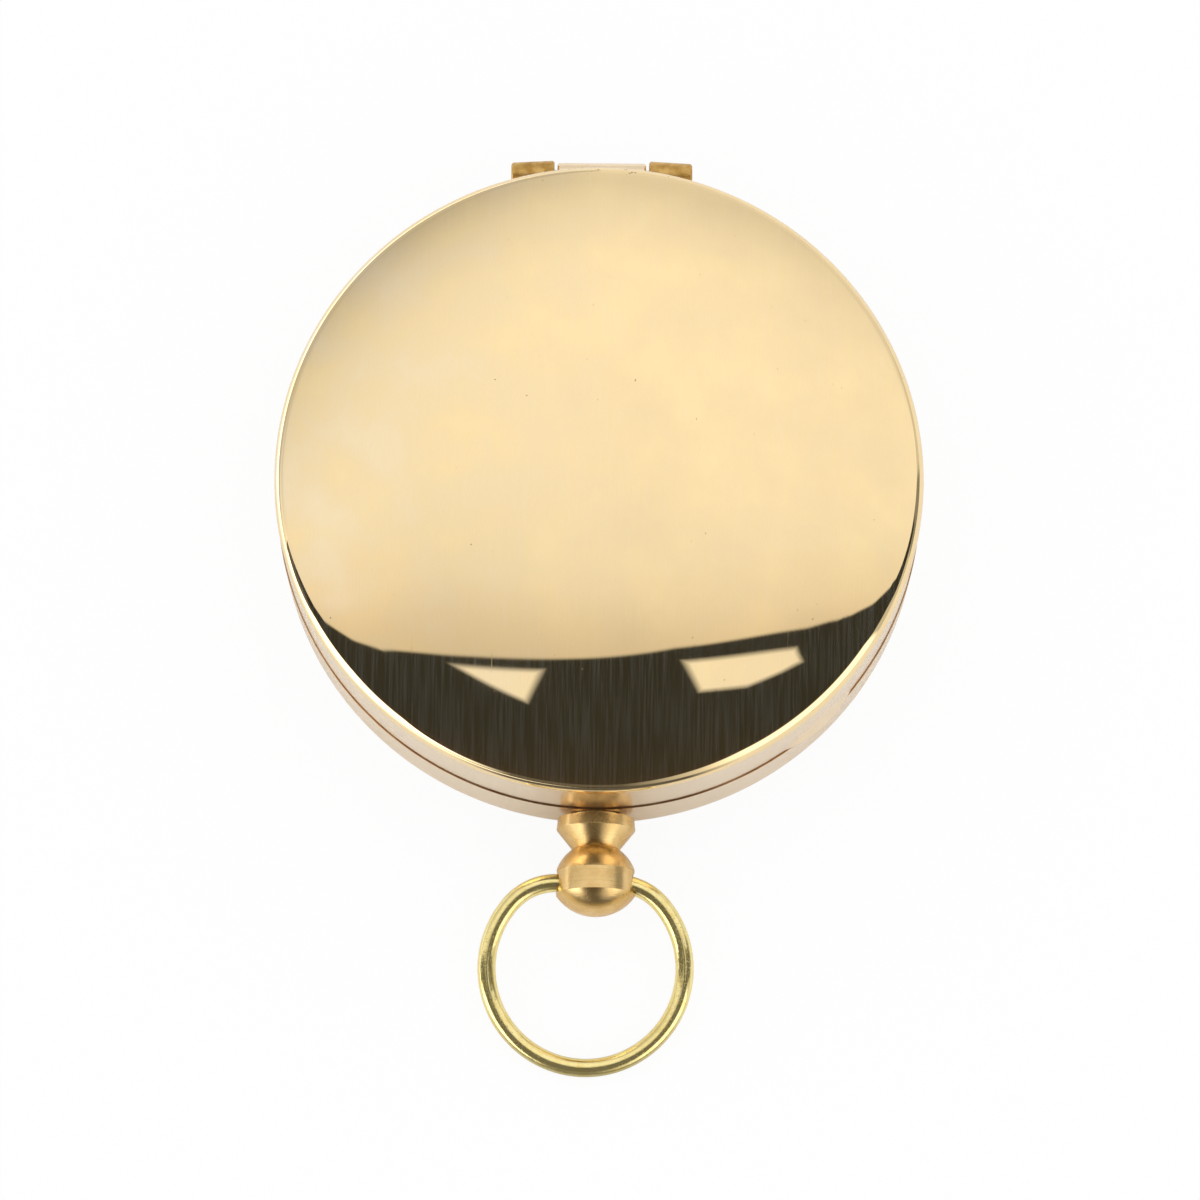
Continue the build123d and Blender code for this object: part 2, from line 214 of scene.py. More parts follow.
def polished_brass(name, light, dark, scratch_mm, wave_mm, spots, lacquer, dullness):
    """Spun brass, buffed and lacquered: a clear mirror, a little wavy, with buffing lines, a pale haze that is
    partly in the lacquer and partly a painted pale reflection, stronger on the left, brown specks that
    gather at the hinge side of the rim, and painted brown shade along the seam where lid and case meet."""
    material, tree, place = new_material(name)
    x, y, z = add(tree, "SeparateXYZ", (place,)).node.outputs
    # Buffing lines are drawn coarser than real ones, so that they show in the picture
    buffed = add(tree, "Mapping", {0: place, "Scale": per_metre(*scratch_mm)})
    lines = add(tree, "TexNoise", {"Vector": buffed, "Scale": 1.0, "Detail": 3.0})
    haze = add(tree, "TexNoise", {"Vector": place, "Scale": 1 / (5 * MM), "Detail": 4.0})
    waves = add(tree, "TexNoise", {"Vector": place, "Scale": 1 / (16 * MM), "Detail": 1.0})
    grit = add(tree, "TexNoise", {"Vector": place, "Scale": 1 / (0.35 * MM), "Detail": 1.0})
    far = add(tree, "MapRange", (y, 0.93 * lid_radius, 0.99 * lid_radius, 0, spots))
    specks = add(tree, "Math", (grit, far), operation="ADD")
    specks = add(tree, "MapRange", (specks, 0.8, 0.84, 0, 0.8))
    slanted = add(tree, "Mapping", {0: place, "Rotation": (0, 0, 0.5), "Scale": per_metre(0.22, 6, 6)})
    hairs = add(tree, "TexNoise", {"Vector": slanted, "Scale": 1.0, "Detail": 1.0})
    hairs = add(tree, "MapRange", (hairs, 0.74, 0.8, 0, 1))
    # Pale haze: partly lacquer haze in patches, partly painted pale reflection that whitens the brass more on
    # the left
    side = add(tree, "MapRange", (x, -0.9 * lid_radius, 0.1 * lid_radius, 1, 0.25))
    haze_and_sheen = add(tree, "MapRange", (haze, 0.35, 0.65, 0, 1))
    haze_and_sheen = add(tree, "Math", (haze_and_sheen, side), operation="MULTIPLY")
    share = add(tree, "MapRange", (haze, 0.3, 0.7, 0, 1))
    colour = add(tree, "Mix", {0: share, 6: light, 7: dark}, **COLOURS)
    colour = add(tree, "Mix", {0: haze_and_sheen, 6: colour, 7: "#F8E2B9"}, **COLOURS)
    colour = add(tree, "Mix", {0: specks, 6: colour, 7: "#7E5526"}, **COLOURS)
    # Painted shade: brown along the seam where the lid meets the case, standing in for the shadowed gap and
    # ledge, mottled a little
    drop = add(tree, "Math", (z, seam_middle), operation="SUBTRACT")
    drop = add(tree, "Math", (drop,), operation="ABSOLUTE")
    seam_shade_mottle = add(tree, "TexNoise", {"Vector": place, "Scale": 1 / (3 * MM)})
    seam_shade_mottle = add(tree, "MapRange", (seam_shade_mottle, 0.3, 0.7, 0.7, 1))
    seam = add(tree, "MapRange", (drop, 0.1 * MM, 0.2 * MM, 1, 0))
    seam = add(tree, "Math", (seam, seam_shade_mottle), operation="MULTIPLY")
    colour = add(tree, "Mix", {0: seam, 6: colour, 7: "#A06A28"}, **COLOURS)
    rough = add(tree, "MapRange", (haze_and_sheen, 0, 1, 0.02 + dullness, 0.045 + dullness))
    rough = add(tree, "Math", (hairs, 0.06, rough), operation="MULTIPLY_ADD")
    streaks = add(tree, "MapRange", (lines, 0.45, 0.68, lacquer, 1))
    normal = add(tree, "Bump", {"Height": waves, "Distance": wave_mm * MM})
    normal = add(tree, "Bump", {"Height": specks, "Distance": -0.004 * MM, "Normal": normal})
    shader = add(tree, "BsdfPrincipled", {
        "Base Color": colour, "Metallic": 1.0, "Roughness": rough, "Normal": normal,
        "Coat Weight": streaks, "Coat Roughness": 0.4, "Coat IOR": 1.5})
    add(tree, "OutputMaterial", {"Surface": shader})
    return material


def turned_brass(name, axis, light, dark, line_mm, dullness):
    """Free-cutting brass off the lathe: satin, with tool lines round the axis that show as broken glints."""
    material, tree, place = new_material(name)
    if axis == "Y":
        along = add(tree, "SeparateXYZ", (place,), 1)
    else:
        flat = add(tree, "VectorMath", (place, (1, 1, 0)), operation="MULTIPLY")
        along = add(tree, "VectorMath", (flat,), 1, operation="LENGTH")
        height = add(tree, "SeparateXYZ", (place,), 2)
        along = add(tree, "Math", (along, height), operation="ADD")
    tool = {"W": along, "Scale": 1 / (line_mm * MM), "Detail": 3.0}
    tool = add(tree, "TexNoise", tool, noise_dimensions="1D")
    patches = add(tree, "TexNoise", {"Vector": place, "Scale": 1 / (1.6 * MM), "Detail": 3.0})
    slanted = add(tree, "Mapping", {0: place, "Rotation": (0, 0, 0.6), "Scale": per_metre(0.12, 0.9, 0.12)})
    marks = add(tree, "TexNoise", {"Vector": slanted, "Scale": 1.0})
    marks = add(tree, "MapRange", (marks, 0.62, 0.74, 0, 1))
    share = add(tree, "MapRange", (patches, 0.35, 0.7, 0, 0.6))
    colour = add(tree, "Mix", {0: share, 6: light, 7: dark}, **COLOURS)
    share = add(tree, "MapRange", (tool, 0.5, 0.75, 0, 0.35))
    colour = add(tree, "Mix", {0: share, 6: colour, 7: dark}, **COLOURS)
    rough = add(tree, "MapRange", (patches, 0.3, 0.7, dullness - 0.03, dullness + 0.05))
    rough = add(tree, "Math", (marks, -0.06, rough), operation="MULTIPLY_ADD")
    normal = add(tree, "Bump", {"Height": tool, "Distance": 0.006 * MM})
    normal = add(tree, "Bump", {"Height": marks, "Distance": -0.002 * MM, "Normal": normal})
    shader = add(tree, "BsdfPrincipled", {
        "Base Color": colour, "Metallic": 1.0, "Roughness": rough, "Normal": normal})
    add(tree, "OutputMaterial", {"Surface": shader})
    return material


def drawn_brass():
    """High-zinc brass wire, drawn bright: lemon yellow, softly uneven along its length, with small pits."""
    material, tree, place = new_material("drawn_brass_wire")
    pits = add(tree, "TexNoise", {"Vector": place, "Scale": 1 / (0.14 * MM)})
    pits = add(tree, "MapRange", (pits, 0.6, 0.74, 0, 1))
    patches = add(tree, "TexNoise", {"Vector": place, "Scale": 1 / (0.8 * MM)})
    share = add(tree, "MapRange", (patches, 0.4, 0.7, 0, 0.6))
    colour = add(tree, "Mix", {0: share, 6: "#FBE9A4", 7: "#EFD680"}, **COLOURS)
    share = add(tree, "MapRange", (pits, 0, 1, 0, 0.35))
    colour = add(tree, "Mix", {0: share, 6: colour, 7: "#8C7A38"}, **COLOURS)
    rough = add(tree, "MapRange", (patches, 0.3, 0.75, 0.11, 0.17))
    normal = add(tree, "Bump", {"Height": patches, "Distance": 0.014 * MM})
    normal = add(tree, "Bump", {"Height": pits, "Distance": -0.006 * MM, "Normal": normal})
    shader = add(tree, "BsdfPrincipled", {
        "Base Color": colour, "Metallic": 0.86, "Roughness": rough, "Normal": normal})
    add(tree, "OutputMaterial", {"Surface": shader})
    return material


def raw_brass():
    """Brass tube as it came from soldering: unpolished, brown in patches, with a dull fine grain."""
    material, tree, place = new_material("raw_brass_tube")
    patches = add(tree, "TexNoise", {"Vector": place, "Scale": 1 / (0.8 * MM), "Detail": 4.0})
    grit = add(tree, "TexNoise", {"Vector": place, "Scale": 1 / (0.1 * MM)})
    share = add(tree, "MapRange", (patches, 0.35, 0.68, 0, 1))
    colour = add(tree, "Mix", {0: share, 6: "#DAB26C", 7: "#B88C46"}, **COLOURS)
    share = add(tree, "MapRange", (grit, 0.6, 0.78, 0, 0.4))
    colour = add(tree, "Mix", {0: share, 6: colour, 7: "#6E5028"}, **COLOURS)
    rough = add(tree, "MapRange", (patches, 0.3, 0.7, 0.34, 0.46))
    normal = add(tree, "Bump", {"Height": grit, "Distance": 0.005 * MM})
    shader = add(tree, "BsdfPrincipled", {
        "Base Color": colour, "Metallic": 1.0, "Roughness": rough, "Normal": normal})
    add(tree, "OutputMaterial", {"Surface": shader})
    return material


def painted_metal(name, colour, fade, dullness=0.45):
    """Stoved enamel on sheet brass: even colour with a little orange peel and dust."""
    material, tree, place = new_material(name)
    patches = add(tree, "TexNoise", {"Vector": place, "Scale": 1 / (6 * MM), "Detail": 3.0})
    peel = add(tree, "TexNoise", {"Vector": place, "Scale": 1 / (0.5 * MM), "Detail": 1.0})
    share = add(tree, "MapRange", (patches, 0.35, 0.75, 0, 1))
    paint = add(tree, "Mix", {0: share, 6: colour, 7: fade}, **COLOURS)
    rough = add(tree, "MapRange", (patches, 0.3, 0.7, dullness - 0.05, dullness + 0.08))
    normal = add(tree, "Bump", {"Height": peel, "Distance": 0.004 * MM})
    shader = add(tree, "BsdfPrincipled", {
        "Base Color": paint, "Roughness": rough, "Normal": normal, "IOR": 1.5})
    add(tree, "OutputMaterial", {"Surface": shader})
    return material


def needle_finish():
    """Spring steel blade: red lacquer on the north arm, heat-blued steel on the south arm."""
    material, tree, place = new_material("lacquered_blued_steel")
    along = add(tree, "SeparateXYZ", (place,), 1)
    north = add(tree, "MapRange", (along, -0.02 * MM, 0.02 * MM, 0, 1))
    ground = add(tree, "Mapping", {0: place, "Scale": per_metre(0.08, 2.5, 0.5)})
    streaks = add(tree, "TexNoise", {"Vector": ground, "Scale": 1.0})
    share = add(tree, "MapRange", (streaks, 0.35, 0.7, 0, 1))
    blued = add(tree, "Mix", {0: share, 6: "#1F2A4A", 7: "#2E3C66"}, **COLOURS)
    red = add(tree, "Mix", {0: share, 6: "#B3201C", 7: "#C63029"}, **COLOURS)
    colour = add(tree, "Mix", {0: north, 6: blued, 7: red}, **COLOURS)
    metal = add(tree, "MapRange", (north, 0, 1, 0.9, 0))
    rough = add(tree, "MapRange", (streaks, 0.3, 0.7, 0.24, 0.36))
    normal = add(tree, "Bump", {"Height": streaks, "Distance": 0.002 * MM})
    shader = add(tree, "BsdfPrincipled", {
        "Base Color": colour, "Metallic": metal, "Roughness": rough, "Normal": normal})
    add(tree, "OutputMaterial", {"Surface": shader})
    return material


def ground_steel():
    """Silver steel, ground: cool grey with fine lines across."""
    material, tree, place = new_material("ground_steel")
    ground = add(tree, "Mapping", {0: place, "Scale": per_metre(0.05, 0.6, 0.6)})
    lines = add(tree, "TexNoise", {"Vector": ground, "Scale": 1.0})
    share = add(tree, "MapRange", (lines, 0.35, 0.7, 0, 1))
    colour = add(tree, "Mix", {0: share, 6: "#C9C7C1", 7: "#9D9A92"}, **COLOURS)
    rough = add(tree, "MapRange", (lines, 0.3, 0.7, 0.2, 0.34))
    shader = add(tree, "BsdfPrincipled", {"Base Color": colour, "Metallic": 1.0, "Roughness": rough})
    add(tree, "OutputMaterial", {"Surface": shader})
    return material


def seal_rubber():
    """Nitrile rubber: black, matt, with a fine moulded grain."""
    material, tree, place = new_material("nitrile_rubber")
    skin = add(tree, "TexNoise", {"Vector": place, "Scale": 1 / (0.2 * MM)})
    share = add(tree, "MapRange", (skin, 0.35, 0.7, 0, 1))
    colour = add(tree, "Mix", {0: share, 6: "#1B1B1C", 7: "#29292A"}, **COLOURS)
    normal = add(tree, "Bump", {"Height": skin, "Distance": 0.006 * MM})
    shader = add(tree, "BsdfPrincipled", {"Base Color": colour, "Roughness": 0.75, "Normal": normal})
    add(tree, "OutputMaterial", {"Surface": shader})
    return material


def clear_glass(name, tint):
    """Polished glass, clear to light from all sides so that what lies under it is lit."""
    material, tree, place = new_material(name)
    dust = add(tree, "TexNoise", {"Vector": place, "Scale": 1 / (4 * MM), "Detail": 4.0})
    dust = add(tree, "MapRange", (dust, 0.4, 0.8, 0, 0.05))
    glass = add(tree, "BsdfPrincipled", {
        "Base Color": tint, "Roughness": dust, "IOR": 1.5, "Transmission Weight": 1.0})
    clear = add(tree, "BsdfTransparent", {"Color": tint})
    shadow = add(tree, "LightPath", out="Is Shadow Ray")
    add(tree, "OutputMaterial", {"Surface": add(tree, "MixShader", (shadow, glass, clear))})
    return material


def grid_faces(rows, columns, closed):
    """Quads of a grid of rows by columns points: the last column joins the first, and so does the last row of
    a closed grid."""
    row = np.arange(rows if closed else rows - 1)[:, None]
    column = np.arange(columns)[None, :]
    next_row = (row + 1) % rows
    next_column = (column + 1) % columns
    corners = [row * columns + column, row * columns + next_column,
               next_row * columns + next_column, next_row * columns + column]
    return np.stack(np.broadcast_arrays(*corners), axis=-1).reshape(-1, 4)


def make_mesh(name, points, faces, sharp=SHARP_ANGLE):
    """Mesh of the points and faces: doubles merged, faces outwards, edges over the sharp angle kept crisp."""
    mesh = bpy.data.meshes.new(name)
    mesh.from_pydata(points.reshape(-1, 3), [], faces)
    work = bmesh.new()
    work.from_mesh(mesh)
    bmesh.ops.remove_doubles(work, verts=work.verts, dist=MERGE_DISTANCE)
    bmesh.ops.recalc_face_normals(work, faces=work.faces)
    work.to_mesh(mesh)
    work.free()
    mesh.shade_smooth()
    mesh.set_sharp_from_angle(angle=math.radians(sharp))
    return mesh


def place_piece(mesh, body, materials, nodes=()):
    """Object of a finished mesh that rides a body, takes a slot's finish and stands for the given nodes."""
    piece = bpy.data.objects.new(mesh.name, mesh)
    bpy.context.scene.collection.objects.link(piece)
    for material in materials:
        mesh.materials.append(material)
    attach(piece, body)
    if nodes:
        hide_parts(*nodes)


def rounded(corners, steps=6):
    """Outline through corners of (radius, height, rounding): a corner with a rounding becomes an arc that is
    tangent to its two sides, with one more point on each side at half the rounding from the arc."""
    flat = np.array([corner[:2] for corner in corners], float)
    pieces = []
    for i, (_, _, rounding) in enumerate(corners):
        here = flat[i]
        if rounding == 0:
            pieces.append(here[None])
            continue
        before = flat[i - 1] - here
        after = flat[(i + 1) % len(flat)] - here
        before /= np.linalg.norm(before)
        after /= np.linalg.norm(after)
        half = math.acos(np.clip(before @ after, -1, 1)) / 2
        middle = here + (before + after) / np.linalg.norm(before + after) * rounding / math.sin(half)
        start = here + before * rounding / math.tan(half)
        end = here + after * rounding / math.tan(half)
        sweep = math.pi - 2 * half
        share = np.linspace(0, 1, steps)[:, None]
        spokes = np.sin((1 - share) * sweep) * (start - middle) + np.sin(share * sweep) * (end - middle)
        support = rounding / 2
        arc = middle + spokes / math.sin(sweep)
        pieces += [(start + before * support)[None], arc, (end + after * support)[None]]
    return np.concatenate(pieces)


UPRIGHT = (Vector((0, 0, 0)), np.eye(3))
PENDANT = (Vector((0, -case_radius, pendant_height)), np.array([[1, 0, 0], [0, 0, 1], [0, -1, 0]], float))
HINGE = (Vector((0, hinge_y, hinge_z)), np.array([[0, 1, 0], [0, 0, 1], [1, 0, 0]], float))
CROSS_HOLE = (ring_pivot, HINGE[1])


def turned(outline, frame_at, angles):
    """Points of a turned surface: outline point (r, h) goes to (r cos a, r sin a, h) on the frame's axes."""
    origin, axes = frame_at
    radius, height = outline[:, 0, None], outline[:, 1, None]
    across, upward = radius * np.cos(angles), radius * np.sin(angles)
    local = np.stack(np.broadcast_arrays(across, upward, height), axis=-1)
    return np.array(origin) + local @ axes


def turned_mesh(name, outline, frame_at, columns, closed):
    """Mesh of a turned piece; a closed outline is a ring's section, and an open one ends on the axis."""
    angles = np.linspace(0, 2 * math.pi, columns, endpoint=False)
    points = turned(outline, frame_at, angles)
    return make_mesh(name, points, grid_faces(len(outline), columns, closed))


def crown_height(radius, rim_radius, rim_height):
    """Height of the lid's crown: rim + crown * (1 - 0.2 t^2 - 0.8 t^3) with t = radius / rim radius."""
    t = radius / rim_radius
    return rim_height + lid_crown * (1 - 0.2 * t**2 - 0.8 * t**3)


def lip_radius_at(turn, height):
    """Distance from the lid's axis to the thumb lip: a circle off the axis that gets narrower with height."""
    half = lip_width / 2
    rise = lip_reach + lid_radius - math.sqrt(lid_radius**2 - half**2)
    foot = (half**2 + rise**2) / (2 * rise)
    offset = lid_radius + lip_reach - foot
    radius = foot - rise * (height - lid_bottom) / lip_height
    root = radius**2 - (offset * np.sin(turn)) ** 2
    reach = offset * np.cos(turn) + np.sqrt(np.maximum(root, 0))
    return np.where((root > 0) & (np.cos(turn) > 0) & (height < lid_bottom + lip_height), reach, 0)


def lid_shell(top, wall, inside):
    """Lid: the crown, a shoulder arc tangent to it and a skirt turned about Z, hollow below. The arc starts
    where the crown's lean a gives radius = lid radius - rounding * (1 - sin a). The lip is pushed out of the
    skirt: with g = lip radius - lid radius and b = its blend, the skirt's radius grows by
    (g + sqrt(g^2 + b^2)) / 2."""
    crown_end = lid_radius
    for _ in range(30):
        t = crown_end / lid_radius
        lean = math.atan(lid_crown / lid_radius * (0.4 * t + 2.4 * t**2))
        crown_end = lid_radius - shoulder_round * (1 - math.sin(lean))
    shoulder_middle = crown_height(crown_end, lid_radius, lid_rim) - shoulder_round * math.cos(lean)
    outer = np.concatenate([np.linspace(0, 0.9, 44), np.linspace(0.9, 1, 16)[1:-1]]) * crown_end
    sweep = np.linspace(math.pi / 2 - lean, 0, 24)[:, None]
    middle = np.array([lid_radius - shoulder_round, shoulder_middle])
    shoulder = middle + shoulder_round * np.concatenate([np.cos(sweep), np.sin(sweep)], axis=1)
    skirt_heights = np.concatenate([
        [shoulder_middle - shoulder_round / 8, shoulder_middle - shoulder_round / 2],
        np.linspace(lid_bottom + lip_height + edge_break, lid_bottom + 2 * edge_break, 40)])
    skirt = np.stack([np.full_like(skirt_heights, lid_radius), skirt_heights], axis=1)
    inner_rim = lid_rim - lid_dome_wall
    near_bore = 0.97 * lid_bore
    foot = rounded([
        (lid_radius, lid_bottom + 2 * edge_break, 0),
        (lid_radius, lid_bottom, edge_break),
        (lid_bore, lid_bottom, edge_break),
        (lid_bore, inner_rim, lid_dome_wall / 2),
        (near_bore, crown_height(near_bore, lid_bore, inner_rim), 0),
    ])[1:-1]
    inner = np.linspace(0.965, 0, 36) * lid_bore
    outline = np.concatenate([
        np.stack([outer, crown_height(outer, lid_radius, lid_rim)], axis=1),
        shoulder,
        skirt,
        foot,
        np.stack([inner, crown_height(inner, lid_bore, inner_rim)], axis=1),
    ])
    coarse = np.linspace(0, 2 * math.pi, 432, endpoint=False)
    fine = lip_azimuth % (2 * math.pi) + np.linspace(-1, 1, 90) * lip_width / lid_radius
    angles = np.unique(np.concatenate([coarse, fine]))
    points = turned(outline, UPRIGHT, angles)
    skin = np.abs(outline[:, 0] - lid_radius) < edge_break * 1.01
    lower = (outline[:, 1] < lid_bottom + lip_height) & skin
    heights = np.maximum(outline[lower, 1], lid_bottom)[:, None]
    lip = lip_radius_at(angles - lip_azimuth, heights)
    base = outline[lower, 0][:, None]
    gain = np.maximum(lip - lid_radius, -lid_radius)
    pushed = base + (gain + np.sqrt(gain**2 + lip_blend**2)) / 2
    pushed = np.where(gain > -lip_blend * 6, pushed, base)
    growth = pushed / base
    points[lower] *= np.stack([growth, growth, np.ones_like(growth)], axis=-1)
    mesh = make_mesh("lid_shell", points, grid_faces(len(outline), len(angles), False), 40)
    centres = np.empty(len(mesh.polygons) * 3)
    mesh.polygons.foreach_get("center", centres)
    x, y, z = centres.reshape(-1, 3).T
    radius = np.hypot(x, y)
    roof = crown_height(radius, lid_radius, lid_rim) - lid_dome_wall / 2
    hidden = (radius < lid_radius - lid_wall / 2) & (z < roof)
    upright = ~hidden & (z < shoulder_middle)
    mesh.polygons.foreach_set("material_index", np.where(hidden, 2, upright.astype(int)).astype(np.int32))
    place_piece(mesh, "lid", [top, wall, inside], ["lid_cover"])


def case_cup(finish):
    """Case: flat bottom with a rounded edge, straight wall, seam ledge, spigot and bore, turned about Z."""
    outline = rounded([
        (0, 0, 0),
        (case_radius, 0, bottom_round),
        (case_radius, seam_height, edge_break),
        (spigot_radius, seam_height, edge_break),
        (spigot_radius, case_top, spigot_bevel),
        (case_bore, case_top, edge_break),
        (case_bore, case_floor, 0),
        (0, case_floor, 0),
    ], steps=9)
    mesh = turned_mesh("case_cup", outline, UPRIGHT, 512, False)
    place_piece(mesh, "case", [finish], ["case_body"])


def knuckle(name, start, end, radii, web, wall_radius, bore):
    """Hinge barrel along X: at each x its section reaches the barrel's radius or, towards the wall, the edge
    of the web, which lies between two heights over the hinge's axis and ends at the wall."""
    between = np.linspace(start + knuckle_bevel, end - knuckle_bevel, 24)
    stations = np.concatenate([[start], between, [end]])[:, None]
    phi = np.linspace(0, 2 * math.pi, 180, endpoint=False)[None, :]
    share = (stations - start) / (end - start)
    barrel = radii[0] + (radii[1] - radii[0]) * share
    ends = (stations <= start) | (stations >= end)
    barrel = np.where(ends, barrel - knuckle_bevel, barrel)
    depth = hinge_y - np.sqrt((wall_radius + seat_gap) ** 2 - stations**2)
    cos, sin = np.cos(phi), np.sin(phi)
    tiny = 1e-9
    climb = np.where(sin == 0, tiny, sin)
    edges = np.stack([web[0] / climb, web[1] / climb])
    enter = np.maximum(edges.min(axis=0), 0)
    leave = np.minimum(edges.max(axis=0), depth / np.maximum(-cos, tiny))
    reached = (cos < 0) & (enter <= barrel) & (leave > enter) & ~ends
    reach = np.where(reached, np.maximum(barrel, leave), barrel)
    rim = np.full_like(reach[:1], bore)
    section = np.concatenate([rim, reach, rim])
    x = np.concatenate([stations[:1], stations, stations[-1:]])
    points = np.stack(np.broadcast_arrays(x, hinge_y + section * cos, hinge_z + section * sin), axis=-1)
    return make_mesh(name, points, grid_faces(len(x), phi.size, True), 32)


def hinge_barrels(raw, polish, steel):
    """Two unpolished barrels on the case, a polished one on the lid and the pin through them."""
    web = (-knuckle_end_radius, 0)
    right = (right_knuckle_low.x, right_knuckle_high.x)
    radii = (knuckle_start_radius, knuckle_end_radius)
    mesh = knuckle("hinge_barrel_right", *right, radii, web, case_radius, knuckle_bore)
    place_piece(mesh, "case", [raw], ["case_knuckle_right"])
    left = (-right[1], -right[0])
    mesh = knuckle("hinge_barrel_left", *left, radii[::-1], web, case_radius, knuckle_bore)
    place_piece(mesh, "case", [raw], ["case_knuckle_left"])
    lid_web = (lid_bottom - hinge_z, lid_knuckle_radius)
    lid_radii = (lid_knuckle_radius, lid_knuckle_radius)
    span = (lid_knuckle_low.x, lid_knuckle_high.x)
    mesh = knuckle("hinge_barrel_lid", *span, lid_radii, lid_web, lid_radius, lid_knuckle_bore)
    place_piece(mesh, "lid", [polish], ["lid_knuckle"])
    peen = pin_radius / 3
    outline = rounded([
        (0, pin_low.x, 0), (pin_radius, pin_low.x, peen), (pin_radius, pin_high.x, peen), (0, pin_high.x, 0)])
    mesh = turned_mesh("hinge_pin_rod", outline, HINGE, 48, False)
    place_piece(mesh, "case", [steel], ["hinge_pin"])


def pendant(finish):
    """Collar and cone, and the ball with its flat band and cross hole, turned about the pendant's axis."""
    bore = stem_radius + seat_gap
    outline = rounded([
        (bore, seat_gap, 0),
        (collar_seat_radius, seat_gap, 0),
        (collar_seat_radius, collar_standoff, 0),
        (collar_radius, collar_standoff, edge_break),
        (collar_ridge_radius, collar_ridge, edge_break),
        (neck_radius, neck, edge_break / 2),
        (bore, neck, 0),
    ])
    mesh = turned_mesh("pendant_cone", outline, PENDANT, 160, True)
    place_piece(mesh, "case", [finish], ["pendant_collar"])
    band_start, band_end = ball_middle - band_half, ball_middle + band_half
    shoulder = math.sqrt(ball_radius**2 - band_half**2)
    heights = np.linspace(neck, band_start, 24)
    sphere = np.stack([np.sqrt(ball_radius**2 - (ball_middle - heights) ** 2), heights], axis=1)
    curve = (dome_radius**2 + dome_height**2) / (2 * dome_height)
    dome_turn = np.linspace(math.asin(dome_radius / curve), 0, 24)
    dome_middle = band_end + dome_height - curve
    dome = np.stack([curve * np.sin(dome_turn), dome_middle + curve * np.cos(dome_turn)], axis=1)
    band = rounded([
        (shoulder, band_start, 0),
        (band_radius, band_start, band_edge_break),
        (band_radius, band_end, band_edge_break),
        (dome_radius, band_end, 0),
    ])[1:-1]
    stem = np.array([[0, -stem_grip], [stem_radius, -stem_grip], [stem_radius, neck]])
    outline = np.concatenate([stem, sphere, band, dome])
    mesh = turned_mesh("pendant_knob", outline, PENDANT, 160, False)
    drilled = drill(mesh)
    place_piece(drilled, "case", [finish], ["pendant_ball"])


def drill(mesh):
    """The ball's mesh less a round bar along X."""
    reach = 2 * ball_radius
    outline = np.array([[0, -reach], [cross_hole_radius, -reach], [cross_hole_radius, reach], [0, reach]])
    bar = bpy.data.objects.new("hole_bar", turned_mesh("hole_bar", outline, CROSS_HOLE, 64, False))
    block = bpy.data.objects.new("knob_block", mesh)
    for made in (bar, block):
        bpy.context.scene.collection.objects.link(made)
    cut = block.modifiers.new("cross_hole", "BOOLEAN")
    cut.object = bar
    cut.operation = "DIFFERENCE"
    cut.solver = "EXACT"
    depsgraph = bpy.context.evaluated_depsgraph_get()
    drilled = bpy.data.meshes.new_from_object(block.evaluated_get(depsgraph))
    name = mesh.name
    for made in (bar, block):
        bpy.data.objects.remove(made)
    bpy.data.meshes.remove(mesh)
    drilled.name = name
    drilled.shade_smooth()
    drilled.set_sharp_from_angle(angle=math.radians(SHARP_ANGLE))
    return drilled


def wire_ring(finish):
    """Ring: a round section carried along a straight end, a closer bend and a large arc, then mirrored."""
    offset = ring_end_straight / math.sin(ring_end_turn)
    bend = ring_radius - offset
    middle = bend + offset * math.cos(ring_end_turn)
    straight = np.linspace(ring_end_gap / 2, ring_end_straight, 8)[:-1]
    bend_turn = np.linspace(0, ring_end_turn, 40)[:-1]
    arc_turn = np.linspace(ring_end_turn, math.pi, 160)
    bend_x, arc_x = ring_end_straight + bend * np.sin(bend_turn), ring_radius * np.sin(arc_turn)
    bend_away, arc_away = bend - bend * np.cos(bend_turn), middle - ring_radius * np.cos(arc_turn)
    x = np.concatenate([straight, bend_x, arc_x])
    away = np.concatenate([0 * straight, bend_away, arc_away])
    turn = np.concatenate([0 * straight, bend_turn, arc_turn])
    x = np.concatenate([x, -x[-2::-1]])[:, None]
    away = np.concatenate([away, away[-2::-1]])[:, None]
    turn = np.concatenate([turn, 2 * math.pi - turn[-2::-1]])[:, None]
    psi = np.linspace(0, 2 * math.pi, 40, endpoint=False)[None, :]
    out = wire_radius * np.cos(psi)
    up = wire_radius * np.sin(psi)
    slope = math.asin((pendant_height - wire_radius - ring_rest_gap) / (middle + ring_radius))
    local = np.stack(np.broadcast_arrays(x + out * np.sin(turn), away - out * np.cos(turn), up), axis=-1)
    start_cap, end_cap = [end.mean(axis=1, keepdims=True) + 0 * end for end in (local[:1], local[-1:])]
    local = np.concatenate([start_cap, local, end_cap])
    run, drop = math.cos(slope), math.sin(slope)
    axes = np.array([[1, 0, 0], [0, -run, -drop], [0, drop, -run]])
    origin = np.array([-ring_side_shift, ring_pivot.y, ring_pivot.z])
    mesh = make_mesh("wire_ring", origin + local @ axes, grid_faces(len(local), psi.size, False), 40)
    place_piece(mesh, "bail", [finish], ["bail_ring"])


